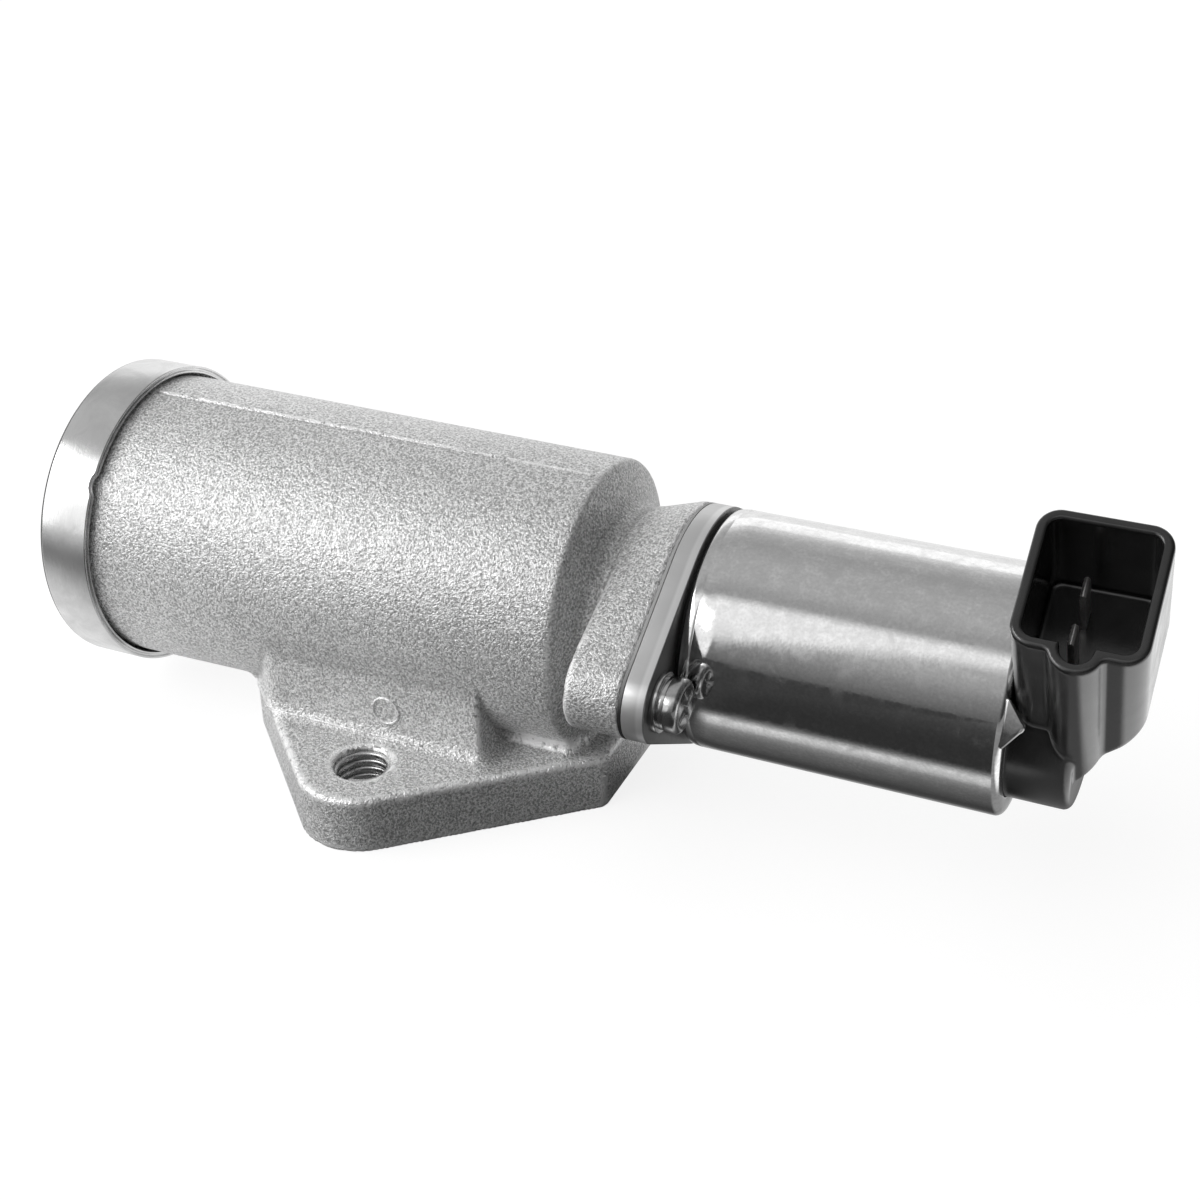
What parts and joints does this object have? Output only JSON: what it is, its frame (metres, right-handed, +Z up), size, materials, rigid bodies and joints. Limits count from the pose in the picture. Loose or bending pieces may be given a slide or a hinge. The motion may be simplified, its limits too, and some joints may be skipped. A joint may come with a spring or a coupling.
{
  "type": "idle air control valve",
  "caption": "Solenoid-driven bypass air valve: cast barrel on a diamond mounting flange with two ports, steel can and a tilted plug socket.",
  "frame": {"origin": "centre of the flat mounting face, midway between the two tapped holes", "axes": "+Z up from the mounting face, +X along the valve axis towards the solenoid and its socket, +Y to the back"},
  "size_m": [0.1638, 0.0754, 0.0615],
  "materials": {
    "cast_aluminium": "sand-blasted casting",
    "bright_steel": "bright pressed steel",
    "black_rubber": "matt",
    "brass": "turned",
    "turned_aluminium": "turned",
    "plain_steel": "turned",
    "zinc_steel": "bright zinc plate",
    "spring_steel": "drawn wire",
    "ground_steel": "ground",
    "satin_plate": "satin, sheared edge",
    "polished_can": "polished drawn steel",
    "black_plastic": "satin moulded",
    "copper_wire": "enamelled copper",
    "tinned_brass": "tinned"
  },
  "bodies": {
    "casing": {"valve_body": "cast_aluminium", "end_cap": "bright_steel", "cap_seal": "black_rubber", "valve_seat": "brass", "bulkhead": "turned_aluminium", "rear_guide_bush": "brass", "adjuster_carrier": "plain_steel", "adjusting_screw": "zinc_steel", "adjuster_locknut": "zinc_steel", "spring_cup": "zinc_steel", "return_spring": "spring_steel", "solenoid_gasket": "black_rubber", "solenoid_plate": "satin_plate", "flat_washers": "zinc_steel", "lock_washers": "zinc_steel", "solenoid_screws": "zinc_steel", "can_seal": "black_rubber", "solenoid_can": "polished_can", "pole_core": "plain_steel", "pole_seal": "black_rubber", "front_guide_bush": "brass", "shading_washer": "brass", "coil_bobbin": "black_plastic", "coil_winding": "copper_wire", "armature_sleeve": "brass", "flux_washer": "plain_steel", "housing_seal": "black_rubber", "connector_housing": "black_plastic", "terminal_front": "tinned_brass", "terminal_rear": "tinned_brass"},
    "valve_train": {"valve_stem": "ground_steel", "valve_disc": "brass", "disc_facing": "black_rubber", "disc_clip": "spring_steel", "spring_retainer": "zinc_steel", "retainer_clip": "spring_steel", "armature": "plain_steel"}
  },
  "joints": [
    {"name": "valve_slide", "type": "slide", "parent": "casing", "child": "valve_train", "axis": [-1, 0, 0], "range_m": [0, 0.0035], "stiffness_N_per_m": 600, "springref_m": -0.004, "deforming": ["return_spring"]}
  ]
}
